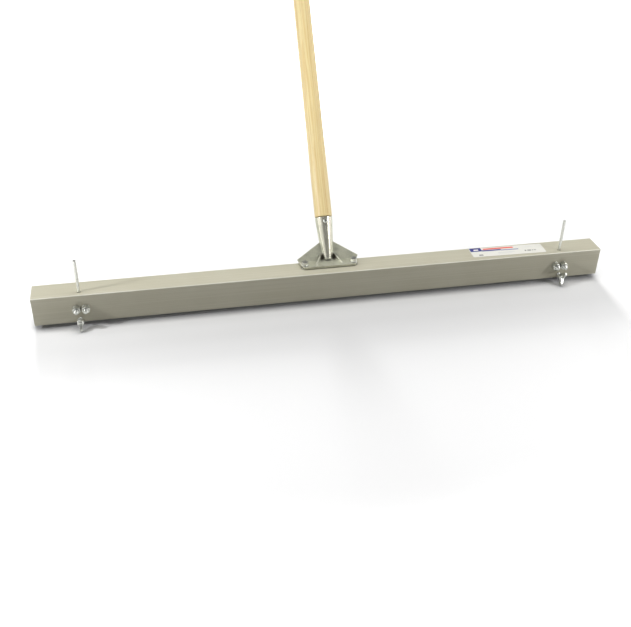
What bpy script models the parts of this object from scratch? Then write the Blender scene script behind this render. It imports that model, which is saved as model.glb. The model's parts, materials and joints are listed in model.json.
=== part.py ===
"""Gauge screed: a box bar with two sliding depth pins, a cast handle bracket and a wooden handle.

Metres, +Z up. The origin is the centre of the bar's bottom face. +X runs along the bar, and +Y points
back, towards the side that the handle leans to.
"""

import math

import bmesh
import bpy
from mathutils import Vector

GAP = 0.0003  # between pieces that rest on each other

# Box bar
BAR_LENGTH = 0.9144
BAR_DEPTH = 0.0400
BAR_HEIGHT = 0.0475
BAR_WALL = 0.0024
BAR_CORNER_RADIUS = 0.0015
FRONT_Y = -BAR_DEPTH / 2
REAR_Y = BAR_DEPTH / 2
INNER_FRONT_Y = FRONT_Y + BAR_WALL

# Depth pins, and the guide block that each slides in
BLOCK_X = 0.3863
PIN_X = BLOCK_X + 0.0009
PIN_Y = -0.0095
PIN_RADIUS = 0.0024
PIN_ABOVE_BAR = 0.0540
PIN_BELOW_BAR = 0.00635
PIN_CHAMFER = 0.0005
PIN_RUNNING_CLEARANCE = 0.00006
PIN_WALL_HOLE_RADIUS = 0.0028
BLOCK_WIDTH = 0.0270
BLOCK_DEPTH = 0.0140
BLOCK_HEIGHT = 0.0310
BLOCK_FRONT_Y = INNER_FRONT_Y + GAP
BLOCK_BACK_Y = BLOCK_FRONT_Y + BLOCK_DEPTH
BLOCK_BOTTOM_Z = BAR_WALL + GAP
BLOCK_EDGE_BEVEL = 0.0006

# Bolts that hold the guide block to the front wall, with their nuts and spring washers
BOLT_SPACING = 0.0135
BOLT_Z = 0.0250
BOLT_RADIUS = 0.003175
BOLT_HOLE_RADIUS = 0.0033
BOLT_END_OUT = 0.0145
BOLT_END_ROUND_LENGTH = 0.0012
BOLT_END_ROUND_DEPTH = 0.0016
BOLT_HEAD_HEIGHT = 0.0044
NUT_ACROSS_FLATS = 0.0111
NUT_HEIGHT = 0.0056
HEX_CHAMFER_HEIGHT_SHARE = 0.06  # of the size across flats
HEX_CHAMFER_RADIUS_SHARE = 0.485
WASHER_INNER_RADIUS = 0.0034
WASHER_OUTER_RADIUS = 0.0061
WASHER_THICKNESS = 0.0016
WASHER_SWEEP = math.radians(346)
WASHER_SLANT = math.radians(9)

# Wing screw and the pressure pad at its tip
WING_X = PIN_X + 0.0019
WING_Z = 0.0070
WING_SCREW_RADIUS = 0.0024
WING_HOLE_RADIUS = 0.0025
WING_HUB_OUT = 0.0078
WING_HUB_HEIGHT = 0.0075
WING_HUB_RADIUS = 0.0056
WING_HUB_TOP_RADIUS = 0.0040
WING_HUB_CHAMFER = 0.0005
WING_HUB_CROWN = 0.0008
WING_LOBE_RADIUS = 0.0033
WING_SPAN = 0.0236
WING_LOBE_OUT = 0.0174
WING_THICKNESS = 0.0036
WING_ROOT_OUT = 0.0086
WING_ROOT_REACH = 0.0030
WING_CREST_OUT = 0.0143
WING_TIP_CHAMFER = 0.0005
WING_REST_TURNS = {"left": math.radians(2), "right": math.radians(13)}  # top lobe outwards
PAD_RADIUS = 0.00235
PAD_THICKNESS = 0.0024
PAD_CLEARANCE = 0.0001
PAD_CHAMFER = 0.0003

# Handle, which leans back from the bar
HANDLE_TILT = math.radians(35.6)
HANDLE_Y = 0.0120  # where its axis crosses the bar's top plane
HANDLE_RADIUS = 0.0139
HANDLE_UPPER_RADIUS = 0.0131
HANDLE_LENGTH = 1.5240
HANDLE_END_ROUND = 0.0080
HANDLE_SHOULDER = 0.0010
HANDLE_TAPER_START = 0.0800  # above the shoulder
HANDLE_TAPER_END = 0.3500
HANDLE_END_ANGLES = (25, 50, 70, 85)

# Cast handle bracket. Distances called ALONG run up the handle's axis from the bar's top plane
BASE_FRONT_Y = -0.0045
BASE_FRONT_HALF_WIDTH = 0.0425
BASE_REAR_HALF_WIDTH = 0.0485
BASE_CORNER_RADIUS = 0.0045
BASE_THICKNESS = 0.0047
BASE_BOTTOM_Z = BAR_HEIGHT + GAP
BASE_TOP_Z = BASE_BOTTOM_Z + BASE_THICKNESS
WEB_THICKNESS = 0.0045
WEB_FOOT_ALONG = 0.0042
WEB_FOOT_HALF_WIDTH = 0.0470
WEB_SHOULDER_ALONG = 0.0092
WEB_SHOULDER_HALF_WIDTH = 0.0495
WEB_APEX_ALONG = 0.0345
WEB_APEX_HALF_WIDTH = 0.0100
FIN_THICKNESS = 0.0024
FIN_FOOT = (0.0108, 0.0300)  # half-width, ALONG
FIN_TOP = (0.0138, 0.0695)
SOCKET_FOOT_ALONG = 0.0052
SOCKET_FOOT_RADIUS = 0.0068
SOCKET_RIM_ALONG = 0.0732
SOCKET_RIM_RADIUS = 0.01375
SOCKET_WALL = 0.0022
SOCKET_BORE_ALONG = 0.0220
TENON_CLEARANCE = 0.00015
RIB_THICKNESS = 0.0026
RIB_FRONT = (0.0228, -0.0010)
RIB_REAR = (0.0085, 0.0215)
RIB_FRONT_HEIGHT = 0.0006
RIB_REAR_HEIGHT = 0.0105
RIB_FOOT_DEPTH = 0.0025

# Bracket bolts, the rivet nuts that they enter, and the handle's screw
BRACKET_BOLT_X = 0.0395
BRACKET_BOLT_Y = 0.0030
BRACKET_BOLT_ACROSS_FLATS = 0.0095
BRACKET_BOLT_HEAD_HEIGHT = 0.0045
BRACKET_BOLT_FLANGE_RADIUS = 0.0057
BRACKET_BOLT_FLANGE_HEIGHT = 0.0010
BRACKET_BOLT_FLANGE_CHAMFER = 0.0003
BRACKET_BOLT_LENGTH = 0.0180
BRACKET_BOLT_END_CHAMFER = 0.0006
RIVET_BODY_RADIUS = 0.0049
RIVET_WALL_HOLE_RADIUS = 0.0051
RIVET_FLANGE_RADIUS = 0.0064
RIVET_FLANGE_HEIGHT = 0.0008
RIVET_BULGE_RADIUS = 0.0063
RIVET_BULGE_BELOW_WALL = (0.0008, 0.0025, 0.0035)
RIVET_LENGTH = 0.0150
RIVET_POCKET_RADIUS = 0.0069
RIVET_POCKET_DEPTH = 0.0012
HANDLE_SCREW_ALONG = 0.0660
HANDLE_SCREW_RADIUS = 0.0020
HANDLE_SCREW_HOLE_RADIUS = 0.0022
HANDLE_SCREW_HEAD_RADIUS = 0.0038
HANDLE_SCREW_HEAD_HEIGHT = 0.0026
HANDLE_SCREW_INNER = 0.0015
HANDLE_SCREW_POINT_LENGTH = 0.0025
HANDLE_SCREW_POINT_SHARE = 0.4

# End plugs
PLUG_RECESS = 0.0005
PLUG_DEPTH = 0.0160
PLUG_FACE_THICKNESS = 0.0030
PLUG_WALL = 0.0020
PLUG_FIT = 0.00015
PLUG_BODY_INSET = 0.0011
PLUG_FINS = (0.0060, 0.0105)
PLUG_FIN_WIDTH = 0.0012

# Printed label on the bar's top face
LABEL_CENTRE = (0.3010, 0.0022)
LABEL_LENGTH = 0.1260
LABEL_WIDTH = 0.0285
LABEL_THICKNESS = 0.0002
LABEL_LIFT = 0.0001
LABEL_CORNER_RADIUS = 0.0025
LABEL_TURN = math.radians(-1.2)

SIDES = {"left": -1, "right": 1}
FACING_FRONT = (math.pi / 2, 0, 0)  # turns a piece's own +Z to the front, -Y
ROUND_STEPS = 24
FINE_STEPS = 48
DOME_ANGLES = (30, 60, 80)
SHARP_ANGLE = math.radians(35)


# ---------------------------------------------------------------- materials


def make_material(name, colour, metallic, roughness):
    material = bpy.data.materials.new(name)
    material.use_nodes = True
    shader = material.node_tree.nodes["Principled BSDF"]
    shader.inputs["Base Color"].default_value = (*colour, 1)
    shader.inputs["Metallic"].default_value = metallic
    shader.inputs["Roughness"].default_value = roughness
    return material


# ---------------------------------------------------------------- mesh helpers


def add_object(name, bm, material, location=(0, 0, 0), rotation=(0, 0, 0), parent=None):
    """The bmesh as a named object, with its faces turned outwards and its round stretches smooth."""
    bmesh.ops.recalc_face_normals(bm, faces=bm.faces)
    mesh = bpy.data.meshes.new(name)
    bm.to_mesh(mesh)
    bm.free()
    if material:
        mesh.materials.append(material)
    mesh.shade_smooth()
    mesh.set_sharp_from_angle(angle=SHARP_ANGLE)
    return place_mesh(name, mesh, location, rotation, parent)


def place_mesh(name, mesh, location, rotation=(0, 0, 0), parent=None):
    obj = bpy.data.objects.new(name, mesh)
    obj.location = location
    obj.rotation_euler = rotation
    obj.parent = parent
    bpy.context.scene.collection.objects.link(obj)
    return obj


def as_helper(obj):
    """Marks a shape that only cuts or joins others."""
    obj.hide_render = True
    obj.display_type = "WIRE"
    return obj


def boolean(obj, helper, operation):
    modifier = obj.modifiers.new(f"{operation.lower()}_{helper.name}", "BOOLEAN")
    modifier.operation = operation
    modifier.solver = "EXACT"
    modifier.object = helper


def loft(loops, closed=False):
    """A skin through loops of equally many points, capped at both ends unless it closes on itself."""
    bm = bmesh.new()
    rings = [[bm.verts.new(point) for point in loop] for loop in loops]
    pairs = list(zip(rings, rings[1:]))
    if closed:
        pairs.append((rings[-1], rings[0]))
    else:
        bm.faces.new(rings[0])
        bm.faces.new(rings[-1])
    count = len(rings[0])
    for low, high in pairs:
        for i in range(count):
            j = (i + 1) % count
            bm.faces.new((low[i], low[j], high[j], high[i]))
    return bm


def turned(profile, steps=ROUND_STEPS, closed=False):
    """A body around +Z. Each profile point is (radius, height), and a radius may be a function of angle."""
    loops = []
    for radius, height in profile:
        loop = []
        for i in range(steps):
            angle = 2 * math.pi * i / steps
            reach = radius(angle) if callable(radius) else radius
            loop.append((reach * math.cos(angle), reach * math.sin(angle), height))
        loops.append(loop)
    return loft(loops, closed)


def hexagon(across_flats, limit=math.inf):
    """The radius of a hexagon by angle, its corners cut back to limit, as by a turned chamfer."""
    sector = math.pi / 3

    def radius(angle):
        from_flat = angle % sector - sector / 2
        return min(across_flats / 2 / math.cos(from_flat), limit)

    return radius


def rounded_outline(corners, radius, steps=4):
    """The corners of a convex outline, counter-clockwise, each replaced by an arc."""
    points = []
    count = len(corners)
    for i, corner in enumerate(corners):
        here = Vector(corner)
        to_last = (Vector(corners[i - 1]) - here).normalized()
        to_next = (Vector(corners[(i + 1) % count]) - here).normalized()
        half = to_last.angle(to_next) / 2
        centre = here + (to_last + to_next).normalized() * (radius / math.sin(half))
        outwards = (here - centre).normalized()
        sweep = math.pi - 2 * half
        for k in range(steps + 1):
            turn = sweep * (k / steps - 0.5)
            x = outwards.x * math.cos(turn) - outwards.y * math.sin(turn)
            y = outwards.x * math.sin(turn) + outwards.y * math.cos(turn)
            points.append((centre.x + radius * x, centre.y + radius * y))
    return points


def rectangle(width, height, radius, steps=4):
    x, y = width / 2, height / 2
    return rounded_outline([(-x, -y), (x, -y), (x, y), (-x, y)], radius, steps)


def prism(outline, low, high):
    """The 2-D outline as a solid between two heights."""
    return loft([[(x, y, height) for x, y in outline] for height in (low, high)])


def bevel_edges(obj, width):
    modifier = obj.modifiers.new("edges", "BEVEL")
    modifier.width = width
    modifier.segments = 2
    modifier.limit_method = "ANGLE"
    modifier.angle_limit = math.radians(40)


def drill(name, radius, low, high, location, rotation=(0, 0, 0), parent=None):
    """A round cutter along its own +Z."""
    bm = turned([(radius, low), (radius, high)])
    return as_helper(add_object(name, bm, None, location, rotation, parent))


# ---------------------------------------------------------------- bar


def bar_loop(x, inset):
    """The bar's section at x, set in by inset, with its corner radius reduced to match."""
    radius = max(BAR_CORNER_RADIUS - inset, BAR_CORNER_RADIUS / 3)
    outline = rectangle(BAR_DEPTH - 2 * inset, BAR_HEIGHT - 2 * inset, radius)
    return [(x, y, z + BAR_HEIGHT / 2) for y, z in outline]


def make_bar(material):
    half = BAR_LENGTH / 2
    loops = [bar_loop(-half, 0), bar_loop(half, 0), bar_loop(half, BAR_WALL), bar_loop(-half, BAR_WALL)]
    bar = add_object("bar_tube", loft(loops, closed=True), material)
    for side, sign in SIDES.items():
        pin_hole = drill(
            f"pin_hole_{side}", PIN_WALL_HOLE_RADIUS, -BAR_WALL, BAR_HEIGHT + BAR_WALL,
            (sign * PIN_X, PIN_Y, 0),
        )
        boolean(bar, pin_hole, "DIFFERENCE")
        wing_hole = drill(
            f"wing_wall_hole_{side}", WING_HOLE_RADIUS, -2 * BAR_WALL, BAR_WALL,
            (sign * WING_X, FRONT_Y, WING_Z), FACING_FRONT,
        )
        boolean(bar, wing_hole, "DIFFERENCE")
        for offset in (-BOLT_SPACING / 2, BOLT_SPACING / 2):
            bolt_hole = drill(
                "bolt_wall_hole", BOLT_HOLE_RADIUS, -2 * BAR_WALL, BAR_WALL,
                (sign * BLOCK_X + offset, FRONT_Y, BOLT_Z), FACING_FRONT,
            )
            boolean(bar, bolt_hole, "DIFFERENCE")
        rivet_hole = drill(
            f"rivet_hole_{side}", RIVET_WALL_HOLE_RADIUS, -2 * BAR_WALL, BAR_WALL,
            (sign * BRACKET_BOLT_X, BRACKET_BOLT_Y, BAR_HEIGHT),
        )
        boolean(bar, rivet_hole, "DIFFERENCE")


def make_end_plugs(material):
    """A hollow plug in each end, open inwards, held by two fins that press on the bar's inner walls."""
    fit = BAR_WALL + PLUG_FIT
    body = BAR_WALL + PLUG_BODY_INSET
    hollow = body + PLUG_WALL
    profile = [(0, fit + PLUG_FIT), (2 * PLUG_FIT, fit)]
    profile += [(PLUG_FACE_THICKNESS, fit), (PLUG_FACE_THICKNESS, body)]
    for start in PLUG_FINS:
        end = start + PLUG_FIN_WIDTH
        profile += [(start, body), (start, fit), (end, fit), (end, body)]
    profile += [(PLUG_DEPTH, body), (PLUG_DEPTH, hollow), (PLUG_FACE_THICKNESS, hollow)]
    for side, sign in SIDES.items():
        outer_x = BAR_LENGTH / 2 - PLUG_RECESS
        loops = [bar_loop(sign * (outer_x - inwards), inset) for inwards, inset in profile]
        add_object(f"end_plug_{side}", loft(loops), material)


def make_label(material):
    outline = rectangle(LABEL_LENGTH, LABEL_WIDTH, LABEL_CORNER_RADIUS)
    bm = prism(outline, LABEL_LIFT, LABEL_LIFT + LABEL_THICKNESS)
    add_object("label", bm, material, (*LABEL_CENTRE, BAR_HEIGHT), (0, 0, LABEL_TURN))


# ---------------------------------------------------------------- depth pin stations


def make_guide_block(side, sign, material):
    x = sign * BLOCK_X
    outline = [(-BLOCK_WIDTH / 2, BLOCK_FRONT_Y), (BLOCK_WIDTH / 2, BLOCK_FRONT_Y)]
    outline += [(BLOCK_WIDTH / 2, BLOCK_BACK_Y), (-BLOCK_WIDTH / 2, BLOCK_BACK_Y)]
    block = add_object(
        f"guide_block_{side}", prism(outline, 0, BLOCK_HEIGHT), material, (x, 0, BLOCK_BOTTOM_Z)
    )
    bevel_edges(block, BLOCK_EDGE_BEVEL)
    bore = drill(
        f"pin_bore_{side}", PIN_RADIUS + PIN_RUNNING_CLEARANCE, 0, BAR_HEIGHT, (sign * PIN_X, PIN_Y, 0)
    )
    boolean(block, bore, "DIFFERENCE")
    to_pin = FRONT_Y - PIN_Y
    wing_bore = drill(
        f"wing_bore_{side}", WING_HOLE_RADIUS, to_pin, 0, (sign * WING_X, FRONT_Y, WING_Z), FACING_FRONT
    )
    boolean(block, wing_bore, "DIFFERENCE")
    for offset in (-BOLT_SPACING / 2, BOLT_SPACING / 2):
        bolt_bore = drill(
            "bolt_bore", BOLT_HOLE_RADIUS, -BAR_DEPTH / 2, 0, (x + offset, FRONT_Y, BOLT_Z), FACING_FRONT
        )
        boolean(block, bolt_bore, "DIFFERENCE")


def make_pin(side, sign, material):
    low, high = -PIN_BELOW_BAR, BAR_HEIGHT + PIN_ABOVE_BAR
    tip = PIN_RADIUS - PIN_CHAMFER
    profile = [(tip, low), (PIN_RADIUS, low + PIN_CHAMFER), (PIN_RADIUS, high - PIN_CHAMFER), (tip, high)]
    add_object(f"depth_pin_{side}", turned(profile), material, (sign * PIN_X, PIN_Y, 0))


def hex_solid(across_flats, low, high, bore=None):
    """A hexagonal head or nut with turned chamfers, its height running from low to high."""
    chamfer = across_flats * HEX_CHAMFER_HEIGHT_SHARE
    plain = hexagon(across_flats)
    cut = hexagon(across_flats, across_flats * HEX_CHAMFER_RADIUS_SHARE)
    profile = [(cut, low), (plain, low + chamfer), (plain, high - chamfer), (cut, high)]
    if bore is None:
        return profile
    return profile + [(bore, high), (bore, low)]


def bolt_mesh():
    """A hex bolt along +Z whose height 0 is the bar's front face, with a rounded end."""
    under_head = -(BLOCK_BACK_Y + GAP - FRONT_Y)
    head = hex_solid(NUT_ACROSS_FLATS, under_head - BOLT_HEAD_HEIGHT, under_head)
    round_start = BOLT_END_OUT - BOLT_END_ROUND_LENGTH
    profile = head + [(BOLT_RADIUS, under_head), (BOLT_RADIUS, round_start)]
    for degrees in DOME_ANGLES:
        angle = math.radians(degrees)
        radius = BOLT_RADIUS - BOLT_END_ROUND_DEPTH * (1 - math.cos(angle))
        profile.append((radius, round_start + BOLT_END_ROUND_LENGTH * math.sin(angle)))
    return turned(profile)


def lock_washer_mesh():
    """A split ring, square in section, cut on the slant."""
    low, high = GAP, GAP + WASHER_THICKNESS
    section = [(WASHER_INNER_RADIUS, low), (WASHER_OUTER_RADIUS, low)]
    section += [(WASHER_OUTER_RADIUS, high), (WASHER_INNER_RADIUS, high)]
    loops = []
    for i in range(ROUND_STEPS + 1):
        loop = []
        for radius, height in section:
            slant = WASHER_SLANT if height == high else 0
            angle = WASHER_SWEEP * i / ROUND_STEPS + slant
            loop.append((radius * math.cos(angle), radius * math.sin(angle), height))
        loops.append(loop)
    return loft(loops)


def nut_mesh():
    low = GAP + WASHER_THICKNESS + GAP
    profile = hex_solid(NUT_ACROSS_FLATS, low, low + NUT_HEIGHT, BOLT_HOLE_RADIUS)
    return turned(profile, closed=True)


def make_block_fasteners(material):
    """Bolt, spring washer and nut at each of the four bolt places, each turned a little differently."""
    makers = {"block_bolt": bolt_mesh, "lock_washer": lock_washer_mesh, "hex_nut": nut_mesh}
    for piece, maker in makers.items():
        mesh = None
        for side, sign in SIDES.items():
            for place, outwards in (("inner", -1), ("outer", 1)):
                name = f"{piece}_{side}_{place}"
                location = (sign * (BLOCK_X + outwards * BOLT_SPACING / 2), FRONT_Y, BOLT_Z)
                turn = math.radians(30 + sign * outwards * 8)
                rotation = (math.pi / 2, turn, 0)
                if mesh is None:
                    mesh = add_object(name, maker(), material, location, rotation).data
                else:
                    place_mesh(name, mesh, location, rotation)


def wing_outline():
    """One wing in (outwards from the screw's axis, height): it leaves the hub and ends in a round lobe."""
    lobe_centre = WING_SPAN / 2 - WING_LOBE_RADIUS
    points = [(0, WING_ROOT_OUT), (WING_ROOT_REACH, WING_ROOT_OUT)]
    for degrees in range(-60, 151, 15):
        angle = math.radians(degrees)
        out = lobe_centre + WING_LOBE_RADIUS * math.cos(angle)
        points.append((out, WING_LOBE_OUT + WING_LOBE_RADIUS * math.sin(angle)))
    points.append((0, WING_CREST_OUT))
    return points


def make_wing_screw(side, sign, material):
    """The screw's own +Z points to the front. Height 0 is the bar's front face."""
    location = (sign * WING_X, FRONT_Y, WING_Z)
    rotation = (math.pi / 2, sign * WING_REST_TURNS[side], 0)
    tip = -(PIN_Y - PIN_RADIUS - 2 * PAD_CLEARANCE - PAD_THICKNESS - FRONT_Y)
    hub_top = WING_HUB_OUT + WING_HUB_HEIGHT
    profile = [
        (WING_SCREW_RADIUS - WING_TIP_CHAMFER, tip),
        (WING_SCREW_RADIUS, tip + WING_TIP_CHAMFER),
        (WING_SCREW_RADIUS, WING_HUB_OUT),
        (WING_HUB_RADIUS - WING_HUB_CHAMFER, WING_HUB_OUT),
        (WING_HUB_RADIUS, WING_HUB_OUT + WING_HUB_CHAMFER),
        (WING_HUB_TOP_RADIUS + WING_HUB_CROWN, hub_top - WING_HUB_CROWN),
        (WING_HUB_TOP_RADIUS, hub_top),
    ]
    screw = add_object(f"wing_screw_{side}", turned(profile), material, location, rotation)
    for name, direction in (("upper", 1), ("lower", -1)):
        loops = []
        for x in (-WING_THICKNESS / 2, WING_THICKNESS / 2):
            loops.append([(x, direction * out, height) for out, height in wing_outline()])
        wing = as_helper(add_object(f"{name}_wing_{side}", loft(loops), material, location, rotation))
        boolean(screw, wing, "UNION")


def make_pressure_pad(side, sign, material):
    near_pin = -(PIN_Y - PIN_RADIUS - PAD_CLEARANCE - FRONT_Y)
    far = near_pin + PAD_THICKNESS
    edge = PAD_RADIUS - PAD_CHAMFER
    profile = [(edge, near_pin), (PAD_RADIUS, near_pin + PAD_CHAMFER)]
    profile += [(PAD_RADIUS, far - PAD_CHAMFER), (edge, far)]
    location = (sign * WING_X, FRONT_Y, WING_Z)
    add_object(f"pressure_pad_{side}", turned(profile), material, location, FACING_FRONT)


# ---------------------------------------------------------------- handle bracket


def socket_radius(along):
    share = (along - SOCKET_FOOT_ALONG) / (SOCKET_RIM_ALONG - SOCKET_FOOT_ALONG)
    return SOCKET_FOOT_RADIUS + share * (SOCKET_RIM_RADIUS - SOCKET_FOOT_RADIUS)


def base_outline():
    corners = [(-BASE_FRONT_HALF_WIDTH, BASE_FRONT_Y), (BASE_FRONT_HALF_WIDTH, BASE_FRONT_Y)]
    corners += [(BASE_REAR_HALF_WIDTH, REAR_Y), (-BASE_REAR_HALF_WIDTH, REAR_Y)]
    return rounded_outline(corners, BASE_CORNER_RADIUS)


def plate_helper(name, half, thickness, axis):
    """A flat plate in the plane of the handle's axis and X, from the (x, ALONG) points of its right half."""
    outline = half + [(-x, along) for x, along in reversed(half)]
    loops = [[(x, y, along) for x, along in outline] for y in (-thickness / 2, thickness / 2)]
    return as_helper(add_object(name, loft(loops), None, parent=axis))


def web_helpers(axis):
    """The plate that rises from the base's rear, and the thin fins that carry on up the socket's sides."""
    web = [
        (WEB_FOOT_HALF_WIDTH, WEB_FOOT_ALONG),
        (WEB_SHOULDER_HALF_WIDTH, WEB_SHOULDER_ALONG),
        (WEB_APEX_HALF_WIDTH, WEB_APEX_ALONG),
    ]
    return [
        plate_helper("bracket_web", web, WEB_THICKNESS, axis),
        plate_helper("socket_fins", [FIN_FOOT, FIN_TOP], FIN_THICKNESS, axis),
    ]


def rib_helper(side, sign):
    """A thin wall from the base's front to the web, its top edge sloping down to the front."""
    front = Vector((sign * RIB_FRONT[0], RIB_FRONT[1], 0))
    rear = Vector((sign * RIB_REAR[0], RIB_REAR[1], 0))
    sideways = (rear - front).cross(Vector((0, 0, 1))).normalized() * (RIB_THICKNESS / 2)
    foot = BASE_TOP_Z - RIB_FOOT_DEPTH
    outline = [(front, foot), (rear, foot), (rear, BASE_TOP_Z + RIB_REAR_HEIGHT)]
    outline.append((front, BASE_TOP_Z + RIB_FRONT_HEIGHT))
    loops = []
    for shift in (-sideways, sideways):
        loops.append([(*(place + shift).xy, z) for place, z in outline])
    return as_helper(add_object(f"rib_{side}", loft(loops), None))


def make_bracket(axis, screw_hole, material):
    bracket = add_object("handle_bracket", prism(base_outline(), BASE_BOTTOM_Z, BASE_TOP_Z), material)
    for plate in web_helpers(axis):
        boolean(bracket, plate, "UNION")
    ends = [(SOCKET_FOOT_RADIUS, SOCKET_FOOT_ALONG), (SOCKET_RIM_RADIUS, SOCKET_RIM_ALONG)]
    cone = turned(ends, FINE_STEPS)
    boolean(bracket, as_helper(add_object("socket_cone", cone, None, parent=axis)), "UNION")
    for side, sign in SIDES.items():
        boolean(bracket, rib_helper(side, sign), "UNION")
    past_rim = SOCKET_RIM_ALONG + SOCKET_WALL
    ends = [(socket_radius(along) - SOCKET_WALL, along) for along in (SOCKET_BORE_ALONG, past_rim)]
    bore = turned(ends, FINE_STEPS)
    boolean(bracket, as_helper(add_object("socket_bore", bore, None, parent=axis)), "DIFFERENCE")
    boolean(bracket, screw_hole, "DIFFERENCE")
    for side, sign in SIDES.items():
        place = (sign * BRACKET_BOLT_X, BRACKET_BOLT_Y, BASE_BOTTOM_Z)
        below = -BASE_THICKNESS
        hole = drill(f"bracket_hole_{side}", BOLT_HOLE_RADIUS, below, 2 * BASE_THICKNESS, place)
        pocket = drill(f"rivet_pocket_{side}", RIVET_POCKET_RADIUS, below, RIVET_POCKET_DEPTH, place)
        boolean(bracket, hole, "DIFFERENCE")
        boolean(bracket, pocket, "DIFFERENCE")


def make_bracket_fasteners(zinc):
    """A flanged hex bolt and a rivet nut at each front corner of the bracket."""
    seat = BASE_TOP_Z + GAP
    end = seat - BRACKET_BOLT_LENGTH
    flange_top = seat + BRACKET_BOLT_FLANGE_HEIGHT
    head_top = flange_top + BRACKET_BOLT_HEAD_HEIGHT
    bolt_profile = [
        (BOLT_RADIUS - BRACKET_BOLT_END_CHAMFER, end),
        (BOLT_RADIUS, end + BRACKET_BOLT_END_CHAMFER),
        (BOLT_RADIUS, seat),
        (BRACKET_BOLT_FLANGE_RADIUS, seat),
        (BRACKET_BOLT_FLANGE_RADIUS, flange_top - BRACKET_BOLT_FLANGE_CHAMFER),
    ]
    bolt_profile += hex_solid(BRACKET_BOLT_ACROSS_FLATS, flange_top, head_top)
    flange_low = BAR_HEIGHT + GAP
    below_wall = BAR_HEIGHT - BAR_WALL - GAP
    bulge_top, bulge_low, bulge_end = (below_wall - drop for drop in RIVET_BULGE_BELOW_WALL)
    rivet_profile = [
        (BOLT_HOLE_RADIUS, flange_low + RIVET_FLANGE_HEIGHT),
        (BOLT_HOLE_RADIUS, flange_low - RIVET_LENGTH),
        (RIVET_BODY_RADIUS, flange_low - RIVET_LENGTH),
        (RIVET_BODY_RADIUS, bulge_end),
        (RIVET_BULGE_RADIUS, bulge_low),
        (RIVET_BULGE_RADIUS, bulge_top),
        (RIVET_BODY_RADIUS, below_wall),
        (RIVET_BODY_RADIUS, flange_low),
        (RIVET_FLANGE_RADIUS, flange_low),
        (RIVET_FLANGE_RADIUS, flange_low + RIVET_FLANGE_HEIGHT),
    ]
    for side, sign in SIDES.items():
        place = (sign * BRACKET_BOLT_X, BRACKET_BOLT_Y, 0)
        turn = (0, 0, math.radians(15 * sign))
        add_object(f"bracket_bolt_{side}", turned(bolt_profile), zinc, place, turn)
        add_object(f"rivet_nut_{side}", turned(rivet_profile, closed=True), zinc, place)


# ---------------------------------------------------------------- handle


def make_handle(axis, screw_hole, material):
    """A round pole with a shoulder on the socket's rim and a tapered tenon inside it."""
    inset = SOCKET_WALL + TENON_CLEARANCE
    foot = SOCKET_BORE_ALONG + GAP
    shoulder = SOCKET_RIM_ALONG + GAP
    end = foot + HANDLE_LENGTH
    profile = [
        (socket_radius(foot) - inset, foot),
        (socket_radius(shoulder) - inset, shoulder),
        (HANDLE_RADIUS - HANDLE_SHOULDER, shoulder),
        (HANDLE_RADIUS, shoulder + HANDLE_SHOULDER),
        (HANDLE_RADIUS, shoulder + HANDLE_TAPER_START),
        (HANDLE_UPPER_RADIUS, shoulder + HANDLE_TAPER_END),
        (HANDLE_UPPER_RADIUS, end - HANDLE_END_ROUND),
    ]
    for degrees in HANDLE_END_ANGLES:
        angle = math.radians(degrees)
        radius = HANDLE_UPPER_RADIUS - HANDLE_END_ROUND * (1 - math.cos(angle))
        profile.append((radius, end - HANDLE_END_ROUND * (1 - math.sin(angle))))
    handle = add_object("handle", turned(profile, FINE_STEPS), material, parent=axis)
    boolean(handle, screw_hole, "DIFFERENCE")


def make_handle_screw(axis, material):
    """A round-head screw through the socket's front. Its +Z points out of the socket, away from the axis."""
    seat = socket_radius(HANDLE_SCREW_ALONG + HANDLE_SCREW_HEAD_RADIUS) + GAP
    profile = [
        (HANDLE_SCREW_RADIUS * HANDLE_SCREW_POINT_SHARE, HANDLE_SCREW_INNER),
        (HANDLE_SCREW_RADIUS, HANDLE_SCREW_INNER + HANDLE_SCREW_POINT_LENGTH),
        (HANDLE_SCREW_RADIUS, seat),
        (HANDLE_SCREW_HEAD_RADIUS, seat),
    ]
    for degrees in DOME_ANGLES:
        angle = math.radians(degrees)
        radius = HANDLE_SCREW_HEAD_RADIUS * math.cos(angle)
        profile.append((radius, seat + HANDLE_SCREW_HEAD_HEIGHT * math.sin(angle)))
    add_object(
        "handle_screw", turned(profile), material, (0, 0, HANDLE_SCREW_ALONG), FACING_FRONT, parent=axis
    )


# ---------------------------------------------------------------- assembly


def clear_scene():
    for obj in list(bpy.data.objects):
        bpy.data.objects.remove(obj, do_unlink=True)


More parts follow.
